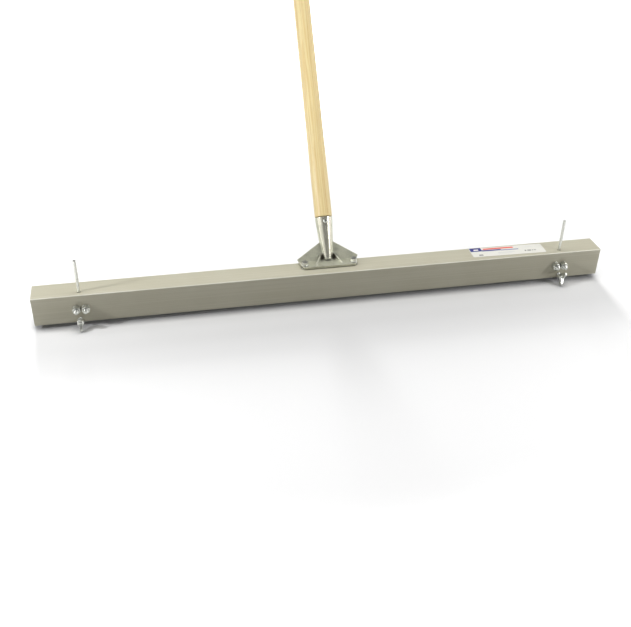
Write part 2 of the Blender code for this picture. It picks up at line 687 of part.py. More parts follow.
def make_screed():
    aluminium = make_material("bar_aluminium", (0.56, 0.54, 0.46), 0.6, 0.45)
    cast = make_material("cast_aluminium", (0.45, 0.45, 0.40), 0.8, 0.5)
    machined = make_material("machined_aluminium", (0.62, 0.62, 0.60), 0.9, 0.35)
    zinc = make_material("zinc_plated_steel", (0.68, 0.69, 0.68), 0.9, 0.3)
    brass = make_material("brass", (0.72, 0.55, 0.25), 0.9, 0.35)
    wood = make_material("varnished_wood", (0.80, 0.66, 0.38), 0, 0.4)
    plastic = make_material("grey_plastic", (0.20, 0.20, 0.20), 0, 0.6)
    vinyl = make_material("label_vinyl", (0.88, 0.88, 0.86), 0, 0.35)

    make_bar(aluminium)
    make_end_plugs(plastic)
    make_label(vinyl)
    for side, sign in SIDES.items():
        make_guide_block(side, sign, machined)
        make_pin(side, sign, zinc)
        make_wing_screw(side, sign, zinc)
        make_pressure_pad(side, sign, brass)
    make_block_fasteners(zinc)

    axis = place_mesh("handle_axis", None, (0, HANDLE_Y, BAR_HEIGHT), (-HANDLE_TILT, 0, 0))
    screw_hole = drill(
        "handle_screw_hole", HANDLE_SCREW_HOLE_RADIUS, HANDLE_SCREW_INNER / 2, SOCKET_RIM_RADIUS * 2,
        (0, 0, HANDLE_SCREW_ALONG), FACING_FRONT, axis,
    )
    make_bracket(axis, screw_hole, cast)
    make_bracket_fasteners(zinc)
    make_handle(axis, screw_hole, wood)
    make_handle_screw(axis, zinc)


clear_scene()
make_screed()
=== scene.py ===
"""Looks of the gauge screed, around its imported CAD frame. Metres, +Z up, in the CAD's own frame."""

import json
import math

import bmesh
import bpy
from mathutils import Matrix, Vector


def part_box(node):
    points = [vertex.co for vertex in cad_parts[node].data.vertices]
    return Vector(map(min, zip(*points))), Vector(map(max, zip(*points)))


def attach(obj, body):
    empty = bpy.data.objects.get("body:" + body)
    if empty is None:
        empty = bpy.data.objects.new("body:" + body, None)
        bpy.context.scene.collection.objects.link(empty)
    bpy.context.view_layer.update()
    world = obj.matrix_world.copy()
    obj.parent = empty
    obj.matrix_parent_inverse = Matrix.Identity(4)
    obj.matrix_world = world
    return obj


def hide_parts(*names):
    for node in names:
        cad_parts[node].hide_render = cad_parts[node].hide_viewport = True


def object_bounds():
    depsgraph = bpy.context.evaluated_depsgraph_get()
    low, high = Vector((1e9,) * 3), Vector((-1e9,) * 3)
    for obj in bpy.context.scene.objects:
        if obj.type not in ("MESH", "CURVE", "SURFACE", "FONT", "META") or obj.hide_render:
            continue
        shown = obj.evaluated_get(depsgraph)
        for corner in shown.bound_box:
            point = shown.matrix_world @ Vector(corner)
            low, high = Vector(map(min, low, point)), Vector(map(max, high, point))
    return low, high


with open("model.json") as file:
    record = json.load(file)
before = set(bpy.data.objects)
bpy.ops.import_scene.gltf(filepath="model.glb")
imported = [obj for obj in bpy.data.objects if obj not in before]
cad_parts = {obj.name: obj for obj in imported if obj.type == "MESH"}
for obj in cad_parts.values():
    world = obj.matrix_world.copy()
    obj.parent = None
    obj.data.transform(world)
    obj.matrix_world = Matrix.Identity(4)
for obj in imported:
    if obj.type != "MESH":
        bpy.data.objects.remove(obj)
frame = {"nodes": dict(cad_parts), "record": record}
CAD_LOW, CAD_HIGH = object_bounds()

SIDES = {"left": -1, "right": 1}
PLACES = {"inner": -1, "outer": 1}
UP = Vector((0, 0, 1))
UNTURNED = Matrix.Identity(4)
FACING_FRONT = Matrix.Rotation(math.pi / 2, 4, "X")  # turns a piece's own +Z to the front, -Y

# Viewpoint
CAMERA_PLACE = (-0.27105, -1.14841, 0.73579)
CAMERA_AZIMUTH = math.radians(12.267)  # from +Y towards +X
CAMERA_ELEVATION = math.radians(33.402)
CAMERA_ROLL = math.radians(1.306)
CAMERA_LENS = 49.01

# Bar, as in the CAD
BAR_LOW, BAR_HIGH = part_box("bar_tube")
BAR_TOP = BAR_HIGH.z
FRONT_Y = BAR_LOW.y
BAR_WALL = 0.0024
BAR_CORNER_RADIUS = 0.0015
BAR_END_EASE = 0.0003
HOLE_CHAMFER = 0.0004
PIN_HOLE_RADIUS = 0.0028
WING_HOLE_RADIUS = 0.0025
BOLT_HOLE_RADIUS = 0.0033
RIVET_HOLE_RADIUS = 0.0051

# Label on the bar's top
LABEL_LENGTH = 0.1260
LABEL_WIDTH = 0.0285
LABEL_THICKNESS = 0.0002
LABEL_CORNER_RADIUS = 0.0025
LABEL_TURN = math.radians(-1.2)

# Handle axis: it crosses the bar's top plane at HANDLE_Y and leans back by HANDLE_TILT
HANDLE_TILT = math.radians(35.6)
HANDLE_Y = 0.0120
HANDLE_AXIS = Matrix.Translation((0, HANDLE_Y, BAR_TOP)) @ Matrix.Rotation(-HANDLE_TILT, 4, "X")
HANDLE_RADIUS = 0.0139
HANDLE_UPPER_RADIUS = 0.0131
HANDLE_LENGTH = 1.5240
HANDLE_END_ROUND = 0.0080
HANDLE_OUT_OF_ROUND = 0.006
HANDLE_TAPER_START = 0.08  # from the socket's rim
HANDLE_TAPER_LENGTH = 0.27

# Bracket. Distances called ALONG run up the handle's axis from the bar's top plane
GAP = 0.0003  # between pieces that rest on each other
BASE_BOTTOM_Z = BAR_TOP + GAP
BASE_TOP_Z = BASE_BOTTOM_Z + 0.0047
BASE_FRONT_CORNER = (0.0425, -0.0045)
BASE_REAR_HALF_LENGTH = 0.0485
BASE_CORNER_RADIUS = 0.0045
WEB_CORNERS = [(0.0470, 0.0042), (0.0495, 0.0092), (0.0100, 0.0345)]  # x, along
WEB_THICKNESS = 0.0045
FIN_CORNERS = [(0.0108, 0.0300), (0.0138, 0.0695)]
FIN_THICKNESS = 0.0024
RIB_FRONT = (0.0228, -0.0010)
RIB_REAR = (0.0085, 0.0215)
RIB_HALF_THICKNESS = 0.0013
RIB_RISE = 0.0105
SOCKET_FOOT = (0.0068, 0.0052)  # radius, along
SOCKET_RIM = (0.01375, 0.0732)
SOCKET_WALL = 0.0022
SOCKET_BORE_ALONG = 0.0220
SOCKET_SKIN = 0.0007  # faces this near the cone are its outer skin
GROUND_FROM = 0.0080  # where the ground finish starts, along
SCREW_ALONG = 0.0660
SCREW_HOLE_RADIUS = 0.0022
SEAT_RADIUS = 0.0069  # sunken seats under the bracket's bolts
SEAT_RISE = 0.0012
CAST_VOXEL = 0.0006
POCKET = (0.0098, 0.0165, BASE_TOP_Z + 0.0040)  # the pocket where a shadow is painted, between socket and rib, alike on both sides
POCKET_SHADOW_SPAN = (0.0078, 0.0024)  # the painted shadow fades in between these distances from the pocket

# Fasteners
BOLT_RADIUS = 0.003175
BOLT_PITCH = 0.00127
BOLT_THREAD_DEPTH = 0.00062
BOLT_HEAD_HEIGHT = 0.0044
BOLT_END_ROUND = 0.0012
NUT_ACROSS_FLATS = 0.0111
WASHER_INNER_RADIUS = 0.0034
BRACKET_BOLT_ACROSS_FLATS = 0.0095
FLANGE_RADIUS = 0.0057
FLANGE_HEIGHT = 0.0010
SCREW_RADIUS = 0.0020
SCREW_HEAD_RADIUS = 0.0038
SCREW_HEAD_HEIGHT = 0.0026
PIN_NOSE = 0.0009


# -------- materials


def srgb(red, green, blue):
    """A display colour, 0 to 255, as the linear colour that shaders take."""
    linear = []
    for value in (red, green, blue):
        share = value / 255
        linear.append(share / 12.92 if share <= 0.04045 else ((share + 0.055) / 1.055) ** 2.4)
    return (*linear, 1)


class Nodes:
    """Short ways to add nodes to a tree. An input takes a value or another node's output."""

    def __init__(self, tree):
        self.tree = tree

    def feed(self, socket, source):
        if isinstance(source, bpy.types.NodeSocket):
            self.tree.links.new(source, socket)
        else:
            socket.default_value = source

    def node(self, kind, inputs, **settings):
        made = self.tree.nodes.new(kind)
        for key, value in settings.items():
            setattr(made, key, value)
        for key, source in inputs.items():
            self.feed(made.inputs[key], source)
        return made

    def span(self, value, low, high, to_low=0.0, to_high=1.0):
        """A smooth step from to_low to to_high as the value goes from low to high."""
        inputs = {"Value": value, "From Min": low, "From Max": high, "To Min": to_low, "To Max": to_high}
        return self.node("ShaderNodeMapRange", inputs, interpolation_type="SMOOTHSTEP").outputs[0]

    def math(self, operation, a, b=0.0):
        return self.node("ShaderNodeMath", {0: a, 1: b}, operation=operation).outputs[0]

    def vector(self, operation, a, b=(0, 0, 0)):
        return self.node("ShaderNodeVectorMath", {0: a, 1: b}, operation=operation).outputs


class Surface(Nodes):
    """A node material in the making: a Principled shader and the nodes that drive it."""

    def __init__(self, name, colour, metallic, roughness):
        self.material = bpy.data.materials.new(name)
        self.material.use_nodes = True
        self.material.diffuse_color = colour
        super().__init__(self.material.node_tree)
        self.shader = self.tree.nodes["Principled BSDF"]
        self.coords = self.node("ShaderNodeTexCoord", {}).outputs["Object"]
        self.drive("Base Color", colour)
        self.drive("Metallic", metallic)
        self.drive("Roughness", roughness)

    def drive(self, name, source):
        self.feed(self.shader.inputs[name], source)

    def noise(self, scale, detail=3, stretch=(1, 1, 1), roughness=0.55):
        """Noise with this many cells a metre. A stretch of 0.01 along an axis draws it out 100 times."""
        placed = self.node("ShaderNodeMapping", {"Vector": self.coords, "Scale": stretch})
        inputs = {"Vector": placed.outputs[0], "Scale": scale, "Detail": detail, "Roughness": roughness}
        return self.node("ShaderNodeTexNoise", inputs).outputs["Fac"]

    def mix(self, factor, a, b, blend="MIX"):
        made = self.node("ShaderNodeMix", {0: factor, 6: a, 7: b}, data_type="RGBA", blend_type=blend)
        return made.outputs[2]

    def edges(self, radius):
        """1 within about radius of an edge, 0 on open faces."""
        rounded = self.node("ShaderNodeBevel", {"Radius": radius}, samples=4).outputs[0]
        true_normal = self.node("ShaderNodeNewGeometry", {}).outputs["True Normal"]
        return self.span(self.vector("DOT_PRODUCT", rounded, true_normal)["Value"], 0.995, 0.90)

    def occlusion_shade(self, reach):
        """1 deep in corners and gaps narrower than about reach, 0 in the open: the mask for painting shade
        into them.
        """
        shade = self.node("ShaderNodeAmbientOcclusion", {"Distance": reach}, samples=6)
        return self.span(shade.outputs["AO"], 0.62, 0.22)

    def bump(self, height, distance, strength=1.0):
        """Adds relief on top of any relief already there."""
        inputs = {"Height": height, "Distance": distance, "Strength": strength}
        before = self.shader.inputs["Normal"]
        if before.is_linked:
            inputs["Normal"] = before.links[0].from_socket
        self.drive("Normal", self.node("ShaderNodeBump", inputs).outputs[0])


def bar_material():
    """Satin extruded aluminium, warm grey, with fine lines along the bar, faint handling marks and a
    painted highlight along its rounded edges.
    """
    surface = Surface("bar_aluminium", srgb(194, 190, 170), 0.15, 0.36)
    lines = surface.noise(700, 2, (0.004, 1, 1))
    broad = surface.noise(90, 2, (0.02, 1, 1))
    clouds = surface.noise(16, 4)
    grain = surface.noise(2600, 2)
    scuffs = surface.span(surface.noise(160, 5, (0.25, 1, 1)), 0.66, 0.74)
    tone = surface.mix(surface.span(lines, 0.35, 0.65), srgb(189, 185, 164), srgb(198, 194, 175))
    tone = surface.mix(surface.span(broad, 0.3, 0.7, 0, 0.5), tone, srgb(186, 182, 160))
    tone = surface.mix(surface.span(clouds, 0.35, 0.75, 0, 0.35), tone, srgb(200, 197, 179))
    tone = surface.mix(surface.math("MULTIPLY", scuffs, 0.25), tone, srgb(210, 208, 196))
    # Painted highlight: the rounded long edges are coloured lighter, more in some places than others.
    normal = surface.node("ShaderNodeNewGeometry", {}).outputs["Normal"]
    facing = surface.node("ShaderNodeSeparateXYZ", {0: normal})
    corner = surface.math("ABSOLUTE", surface.math("MULTIPLY", facing.outputs[1], facing.outputs[2]))
    edge_highlight_strength = surface.span(clouds, 0.3, 0.7, 0.6, 0.95)
    painted_edge_highlight = surface.math("MULTIPLY", surface.span(corner, 0.1, 0.4), edge_highlight_strength)
    tone = surface.mix(painted_edge_highlight, tone, srgb(240, 238, 226))
    surface.drive("Base Color", tone)
    surface.drive("Roughness", surface.span(lines, 0.3, 0.7, 0.32, 0.40))
    surface.drive("Anisotropic", 0.4)
    surface.bump(lines, 0.00002)
    surface.bump(grain, 0.00001)
    return surface.material


def cast_material():
    """Cast aluminium: grainy grey skin, edges rubbed brighter with a painted highlight, painted shade in
    corners and a painted shadow in the pockets beside the socket.
    """
    surface = Surface("cast_aluminium", srgb(200, 200, 180), 0.5, 0.42)
    skin = surface.noise(900, 5)
    lumps = surface.noise(130, 3)
    stains = surface.span(surface.noise(60, 5), 0.45, 0.72)
    pits = surface.span(surface.noise(1500, 2), 0.70, 0.78)
    tone = surface.mix(surface.span(skin, 0.3, 0.7), srgb(190, 190, 170), srgb(212, 212, 192))
    tone = surface.mix(surface.math("MULTIPLY", stains, 0.6), tone, srgb(158, 159, 142))
    tone = surface.mix(surface.math("MULTIPLY", pits, 0.5), tone, srgb(96, 96, 88))
    # Edges rubbed lighter, also standing in as a painted highlight on the ribs and rims.
    tone = surface.mix(surface.math("MULTIPLY", surface.edges(0.0014), 0.6), tone, srgb(238, 237, 226))
    # Painted shade darkens the casting's corners and gaps.
    tone = surface.mix(surface.occlusion_shade(0.010), tone, srgb(44, 42, 35))
    # Painted shadow in the pockets between the socket and the ribs.
    away = surface.vector("DISTANCE", surface.vector("ABSOLUTE", surface.coords)[0], POCKET)["Value"]
    tone = surface.mix(surface.span(away, *POCKET_SHADOW_SPAN), tone, srgb(62, 57, 45))
    surface.drive("Base Color", tone)
    surface.drive("Roughness", surface.span(skin, 0.3, 0.7, 0.38, 0.52))
    surface.bump(skin, 0.00012)
    surface.bump(lumps, 0.0003, 0.5)
    return surface.material


def ground_material():
    """The socket's outside: cast aluminium belted lengthwise to a bright satin."""
    surface = Surface("ground_aluminium", srgb(216, 212, 194), 0.8, 0.2)
    strokes = surface.noise(1200, 3, (1, 1, 0.02))
    blotches = surface.noise(90, 4, (1, 1, 0.5))
    tone = surface.mix(surface.span(strokes, 0.3, 0.7), srgb(208, 205, 186), srgb(230, 228, 212))
    tone = surface.mix(surface.span(blotches, 0.55, 0.75, 0, 0.3), tone, srgb(178, 173, 152))
    surface.drive("Base Color", tone)
    surface.drive("Roughness", surface.span(blotches, 0.3, 0.7, 0.19, 0.25))
    surface.bump(strokes, 0.00001)
    return surface.material


def zinc_material():
    """Bright zinc plate: cool silver, faintly mottled and iridescent, with painted shade in the roots of
    threads and other corners.
    """
    surface = Surface("zinc_plated_steel", srgb(218, 218, 206), 0.95, 0.33)
    spangle = surface.noise(500, 4)
    fine = surface.noise(2500, 3)
    tone = surface.mix(surface.span(spangle, 0.35, 0.65), srgb(203, 205, 200), srgb(225, 226, 217))
    tone = surface.mix(surface.span(fine, 0.55, 0.75, 0, 0.3), tone, srgb(176, 177, 168))
    # Painted shade in thread roots and corners.
    tone = surface.mix(surface.occlusion_shade(0.004), tone, srgb(62, 60, 50))
    surface.drive("Base Color", tone)
    surface.drive("Roughness", surface.span(spangle, 0.3, 0.7, 0.28, 0.40))
    surface.bump(fine, 0.00002)
    return surface.material


def wood_material():
    """Pale straight-grained wood under clear varnish. The handle's axis is local +Z."""
    surface = Surface("varnished_wood", srgb(242, 220, 164), 0, 0.42)
    streaks = surface.noise(420, 4, (1, 1, 0.012))
    fibres = surface.noise(2200, 3, (1, 1, 0.01))
    drift = surface.noise(60, 3, (1, 1, 0.08))
    pores = surface.span(surface.noise(3000, 2, (1, 1, 0.03)), 0.64, 0.72)
    warp = surface.math("MULTIPLY", drift, 0.016)
    split = surface.node("ShaderNodeSeparateXYZ", {0: surface.coords})
    across = surface.math("ADD", surface.math("ADD", split.outputs[0], warp), split.outputs[1])
    rings = surface.math("SINE", surface.math("MULTIPLY", across, 1500))
    tone = surface.mix(surface.span(rings, -0.6, 1.0), srgb(246, 226, 168), srgb(236, 208, 144))
    tone = surface.mix(surface.span(streaks, 0.4, 0.75, 0, 0.7), tone, srgb(218, 184, 116))
    tone = surface.mix(surface.span(fibres, 0.35, 0.7, 0, 0.45), tone, srgb(250, 235, 188))
    tone = surface.mix(surface.math("MULTIPLY", pores, 0.35), tone, srgb(170, 132, 76))
    surface.drive("Base Color", tone)
    surface.drive("Roughness", surface.span(streaks, 0.3, 0.7, 0.34, 0.48))
    surface.drive("Coat Weight", 0.15)
    surface.drive("Coat Roughness", 0.25)
    surface.bump(fibres, 0.00003)
    surface.bump(streaks, 0.00008, 0.6)
    return surface.material


def machined_material():
    """Milled aluminium with fine parallel tool lines."""
    surface = Surface("machined_aluminium", srgb(205, 205, 202), 0.9, 0.32)
    lines = surface.noise(1800, 2, (1, 1, 0.03))
    surface.drive("Base Color", surface.mix(lines, srgb(188, 188, 185), srgb(218, 218, 214)))
    surface.drive("Roughness", surface.span(lines, 0.3, 0.7, 0.26, 0.4))
    surface.bump(lines, 0.00003)
    return surface.material


def brass_material():
    surface = Surface("brass", srgb(205, 172, 98), 0.95, 0.3)
    mottle = surface.noise(900, 4)
    surface.drive("Base Color", surface.mix(mottle, srgb(188, 152, 80), srgb(222, 190, 118)))
    surface.drive("Roughness", surface.span(mottle, 0.3, 0.7, 0.24, 0.38))
    surface.bump(mottle, 0.00002)
    return surface.material


def plastic_material():
    """Moulded grey plastic with a spark-eroded texture, rubbed paler on its rim."""
    surface = Surface("grey_plastic", srgb(72, 72, 70), 0, 0.55)
    texture = surface.noise(2400, 3)
    clouds = surface.noise(120, 3)
    tone = surface.mix(surface.span(clouds, 0.3, 0.7), srgb(66, 66, 65), srgb(80, 80, 77))
    tone = surface.mix(surface.math("MULTIPLY", surface.edges(0.0008), 0.5), tone, srgb(120, 120, 116))
    surface.drive("Base Color", tone)
    surface.drive("Roughness", surface.span(texture, 0.3, 0.7, 0.48, 0.66))
    surface.bump(texture, 0.00006)
    return surface.material


# Printed fields of the label: low x, low y, high x, high y in metres from its centre, and colour
LABEL_FIELDS = (
    ((-0.0620, 0.0030, -0.0425, 0.0143), (58, 62, 128)),
    ((-0.0425, 0.0022, -0.0100, 0.0062), (70, 74, 138)),
    ((-0.0100, 0.0014, 0.0200, 0.0036), (96, 100, 156)),
    ((-0.0560, 0.0062, -0.0480, 0.0098), (238, 232, 228)),
    ((-0.0395, 0.0072, 0.0130, 0.0112), (226, 98, 84)),
    ((-0.0180, -0.0052, 0.0110, -0.0040), (196, 197, 196)),
    ((-0.0180, -0.0082, 0.0060, -0.0070), (206, 207, 206)),
    ((-0.0520, -0.0112, -0.0450, -0.0070), (150, 150, 148)),
    ((0.0320, 0.0060, 0.0450, 0.0072), (212, 213, 210)),
    ((0.0340, 0.0088, 0.0430, 0.0100), (212, 213, 210)),
    ((0.0285, -0.0062, 0.0310, -0.0026), (120, 120, 116)),
    ((0.0330, -0.0062, 0.0395, -0.0026), (132, 132, 128)),
    ((0.0415, -0.0062, 0.0428, -0.0026), (120, 120, 116)),
    ((0.0445, -0.0062, 0.0480, -0.0026), (168, 168, 164)),
)


def label_material():
    """White printed vinyl with plain coloured fields and no lettering."""
    surface = Surface("label_vinyl", srgb(224, 223, 214), 0, 0.34)
    mottle = surface.noise(1200, 3)
    tone = surface.mix(surface.span(mottle, 0.3, 0.7), srgb(219, 218, 209), srgb(227, 226, 218))
    for (low_x, low_y, high_x, high_y), ink in LABEL_FIELDS:
        centre = ((low_x + high_x) / 2, (low_y + high_y) / 2, 0)
        half = ((high_x - low_x) / 2, (high_y - low_y) / 2, 1)
        offset = surface.vector("SUBTRACT", surface.coords, centre)
        past = surface.vector("SUBTRACT", surface.vector("ABSOLUTE", offset[0])[0], half)
        split = surface.node("ShaderNodeSeparateXYZ", {0: past[0]})
        outside = surface.math("MAXIMUM", split.outputs[0], split.outputs[1])
        tone = surface.mix(surface.span(outside, 0.0001, -0.0001), tone, srgb(*ink))
    surface.drive("Base Color", tone)
    surface.drive("Coat Weight", 0.3)
    surface.bump(mottle, 0.00001)
    return surface.material


def floor_material():
    """A plain pale floor, white away from the object, with a painted contact shadow where the object is
    near. It sends back less light than it shows.
    """
    surface = Surface("studio_floor", srgb(249, 249, 249), 0, 0.8)
    path = surface.node("ShaderNodeLightPath", {}).outputs
    seen = surface.math("MAXIMUM", path["Is Camera Ray"], path["Is Glossy Ray"])
    # Painted contact shadow: camera and glossy rays see the floor darker where the object is close.
    shade = surface.node("ShaderNodeAmbientOcclusion", {"Distance": 0.017}, samples=8)
    contact_shadow = surface.span(shade.outputs["AO"], 0.45, 1.0)
    shown = surface.mix(contact_shadow, srgb(160, 160, 162), srgb(249, 249, 249))
    surface.drive("Specular IOR Level", 0.1)
    place = surface.vector("MULTIPLY", surface.coords, FLOOR_FADE_SHAPE)
    away = surface.vector("LENGTH", place[0])["Value"]
    faded = surface.math("MULTIPLY", seen, surface.span(away, *FLOOR_FADE))
    surface.drive("Base Color", surface.mix(seen, FLOOR_BOUNCE, shown))
    surface.drive("Emission Color", (1, 1, 1, 1))
    surface.drive("Emission Strength", faded)
    surface.material.cycles.emission_sampling = "NONE"
    return surface.material


# -------- mesh helpers


def mesh_from(bm, name, sharp=35):
    bmesh.ops.recalc_face_normals(bm, faces=bm.faces)
    mesh = bpy.data.meshes.new(name)
    bm.to_mesh(mesh)
    bm.free()
    mesh.shade_smooth()
    mesh.set_sharp_from_angle(angle=math.radians(sharp))
    return mesh


def helper(name, bm, place=UNTURNED):
    """An object that only takes part in making another, and is removed once that is made."""
    obj = bpy.data.objects.new(name, mesh_from(bm, name))
    obj.matrix_world = place
    bpy.context.scene.collection.objects.link(obj)
    return obj


def add_piece(name, mesh, place, material, body, nodes):
    obj = bpy.data.objects.new(name, mesh)
    obj.matrix_world = place
    mesh.materials.clear()
    mesh.materials.append(material)
    bpy.context.scene.collection.objects.link(obj)
    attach(obj, body)
    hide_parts(*nodes)
    return obj


def loft(loops, closed=False):
    """A skin through loops of equally many points, capped at both ends unless it closes on itself."""
    bm = bmesh.new()
    rings = [[bm.verts.new(point) for point in loop] for loop in loops]
    pairs = list(zip(rings, rings[1:]))
    if closed:
        pairs.append((rings[-1], rings[0]))
    else:
        bm.faces.new(rings[0])
        bm.faces.new(rings[-1])
    count = len(rings[0])
    for low, high in pairs:
        for i in range(count):
            j = (i + 1) % count
            bm.faces.new((low[i], low[j], high[j], high[i]))
    return bm


def lathe(profile, steps=72, reshape=None, closed=False):
    """A body around +Z from (radius, height) points. reshape(radius, angle, height) may change radii."""
    loops = []
    for radius, height in profile:
        loop = []
        for i in range(steps):
            angle = 2 * math.pi * i / steps
            reach = reshape(radius, angle, height) if reshape else radius
            loop.append((reach * math.cos(angle), reach * math.sin(angle), height))
        loops.append(loop)
    return loft(loops, closed)


def run(low, high, count):
    """count + 1 evenly spaced values from low to high."""
    return [low + (high - low) * i / count for i in range(count + 1)]


def dome(radius, height, low, steps=5, full=90):
    """Profile points of a quarter ellipse that starts at (radius, low) and closes inwards."""
    points = []
    for degrees in run(0, full, steps):
        angle = math.radians(degrees)
        points.append((radius * math.cos(angle), low + height * math.sin(angle)))
    return points


def thread(radius, pitch, depth):
    """The radius of a 60 degree thread, by angle and height."""

    def reach(angle, height):
        turn = (height / pitch + angle / (2 * math.pi)) % 1
        flank = abs(2 * turn - 1)
        return radius - depth * min(1, max(0, 1.25 * flank - 0.125))

    return reach


BOLT_THREAD = thread(BOLT_RADIUS, BOLT_PITCH, BOLT_THREAD_DEPTH)


def hexagon(across_flats, angle):
    """The radius of a hexagon in the direction of angle."""
    sector = math.pi / 3
    return across_flats / 2 / math.cos(angle % sector - sector / 2)


def chamfered_hexagon(across_flats, low, high):
    """A hexagon's radius by angle and height, its corners turned back at 30 degrees at both ends."""
    start = across_flats * 0.485
    slope = math.tan(math.radians(60))

    def reach(angle, height):
        inwards = min(height - low, high - height)
        return min(hexagon(across_flats, angle), start + slope * inwards)

    return reach


def hex_heights(across_flats, low, high):
    """Heights at which a chamfered hexagon needs rings: close together near both ends."""
    chamfer = across_flats * 0.06
    near = run(0, chamfer, 5)
    return [low + rise for rise in near] + [high - rise for rise in reversed(near)]


def rounded_outline(corners, radius, steps=8):
    """The corners of a convex outline, counter-clockwise, each replaced by an arc."""
    points = []
    count = len(corners)
    for i, corner in enumerate(corners):
        here = Vector(corner)
        to_last = (Vector(corners[i - 1]) - here).normalized()
        to_next = (Vector(corners[(i + 1) % count]) - here).normalized()
        half = to_last.angle(to_next) / 2
        centre = here + (to_last + to_next).normalized() * (radius / math.sin(half))
        outwards = (here - centre).normalized()
        sweep = math.pi - 2 * half
        for turn in run(-sweep / 2, sweep / 2, steps):
            x = outwards.x * math.cos(turn) - outwards.y * math.sin(turn)
            y = outwards.x * math.sin(turn) + outwards.y * math.cos(turn)
            points.append((centre.x + radius * x, centre.y + radius * y))
    return points


def rectangle(width, height, radius, steps=8):
    x, y = width / 2, height / 2
    return rounded_outline([(-x, -y), (x, -y), (x, y), (-x, y)], radius, steps)


def prism(outline, low, high):
    return loft([[(x, y, height) for x, y in outline] for height in (low, high)])


def combine(base, operation, others):
    """Joins or cuts the base object with the others, and removes them."""
    for other in others:
        modifier = base.modifiers.new(other.name, "BOOLEAN")
        modifier.operation = operation
        modifier.solver = "EXACT"
        modifier.object = other
    bake(base)
    for other in others:
        bpy.data.objects.remove(other, do_unlink=True)


def bake(obj):
    """Gives the object the mesh that its modifiers make, and drops them."""
    bpy.context.view_layer.update()
    graph = bpy.context.evaluated_depsgraph_get()
    mesh = bpy.data.meshes.new_from_object(obj.evaluated_get(graph))
    obj.modifiers.clear()
    obj.data = mesh


def soften(obj, voxel, passes):
    """Rounds every edge and fills every inner corner, as a casting's are."""
    remesh = obj.modifiers.new("voxels", "REMESH")
    remesh.mode = "VOXEL"
    remesh.voxel_size = voxel
    remesh.use_smooth_shade = True
    smooth = obj.modifiers.new("smooth", "SMOOTH")
    smooth.iterations = passes
    smooth.factor = 0.5
    bake(obj)


def take_mesh(obj):
    """The object's mesh, once the object itself is no longer needed."""
    mesh = obj.data
    bpy.data.objects.remove(obj, do_unlink=True)
    return mesh


def centre_of(node):
    low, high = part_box(node)
    return (low + high) / 2


# -------- bar


def bar_loop(x, inset):
    width = BAR_HIGH.y - BAR_LOW.y - 2 * inset
    height = BAR_HIGH.z - BAR_LOW.z - 2 * inset
    radius = max(BAR_CORNER_RADIUS - inset, BAR_CORNER_RADIUS / 3)
    middle = (BAR_LOW.z + BAR_HIGH.z) / 2
    return [(x, y, z + middle) for y, z in rectangle(width, height, radius)]


def hole_cutter(name, radius, place):
    """A drill whose shoulder breaks the hole's edge. Local +Z points out, height 0 is the bar's face."""
    profile = [(radius, -2 * BAR_WALL), (radius, -HOLE_CHAMFER)]
    profile += [(radius + HOLE_CHAMFER, 0), (radius + 3 * HOLE_CHAMFER, 2 * HOLE_CHAMFER)]
    return helper(name, lathe(profile, 48), place)


def make_bar(material):
    """The box bar with its drilled holes, each with a small chamfer left by deburring."""
    low_x, high_x = BAR_LOW.x, BAR_HIGH.x
    section = [(low_x + BAR_END_EASE, 0), (high_x - BAR_END_EASE, 0), (high_x, BAR_END_EASE)]
    section += [(high_x, BAR_WALL), (low_x, BAR_WALL), (low_x, BAR_END_EASE)]
    bar = helper("bar", loft([bar_loop(x, inset) for x, inset in section], closed=True))
    cutters = []
    for side in SIDES:
        pin = centre_of(f"depth_pin_{side}")
        top = Matrix.Translation((pin.x, pin.y, BAR_TOP))
        bottom = Matrix.Translation((pin.x, pin.y, BAR_LOW.z)) @ Matrix.Rotation(math.pi, 4, "X")
        cutters.append(hole_cutter("pin_hole_top", PIN_HOLE_RADIUS, top))
        cutters.append(hole_cutter("pin_hole_bottom", PIN_HOLE_RADIUS, bottom))
        wing = Matrix.Translation(WING_AXES[side]) @ FACING_FRONT
        cutters.append(hole_cutter("wing_hole", WING_HOLE_RADIUS, wing))
        for place in PLACES:
            bolt = centre_of(f"block_bolt_{side}_{place}")
            face = Matrix.Translation((bolt.x, FRONT_Y, bolt.z)) @ FACING_FRONT
            cutters.append(hole_cutter("bolt_hole", BOLT_HOLE_RADIUS, face))
        rivet = centre_of(f"rivet_nut_{side}")
        above = Matrix.Translation((rivet.x, rivet.y, BAR_TOP))
        cutters.append(hole_cutter("rivet_hole", RIVET_HOLE_RADIUS, above))
    combine(bar, "DIFFERENCE", cutters)
    mesh = take_mesh(bar)
    mesh.shade_smooth()
    mesh.set_sharp_from_angle(angle=math.radians(30))
    add_piece("bar", mesh, UNTURNED, material, "screed", ["bar_tube"])


def make_end_plugs(material):
    """Plugs with a raised rim around a slightly sunken face, and their hollow body behind."""
    fit = BAR_WALL + 0.00015
    body = BAR_WALL + 0.0011
    hollow = body + 0.0020
    profile = [(0.0010, fit + 0.0150), (0.0011, fit + 0.0036), (0.0008, fit + 0.0026)]
    profile += [(0.0002, fit + 0.0018), (0, fit + 0.0012), (0, fit + 0.0006), (0.0003, fit)]
    profile += [(0.0030, fit), (0.0030, body), (0.0160, body), (0.0160, hollow), (0.0035, hollow)]
    for side, sign in SIDES.items():
        low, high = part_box(f"end_plug_{side}")
        outer_x = high.x if sign > 0 else low.x
        loops = [bar_loop(outer_x - sign * inwards, inset) for inwards, inset in profile]
        mesh = mesh_from(loft(loops), f"plug_{side}")
        add_piece(f"plug_{side}", mesh, UNTURNED, material, "screed", [f"end_plug_{side}"])


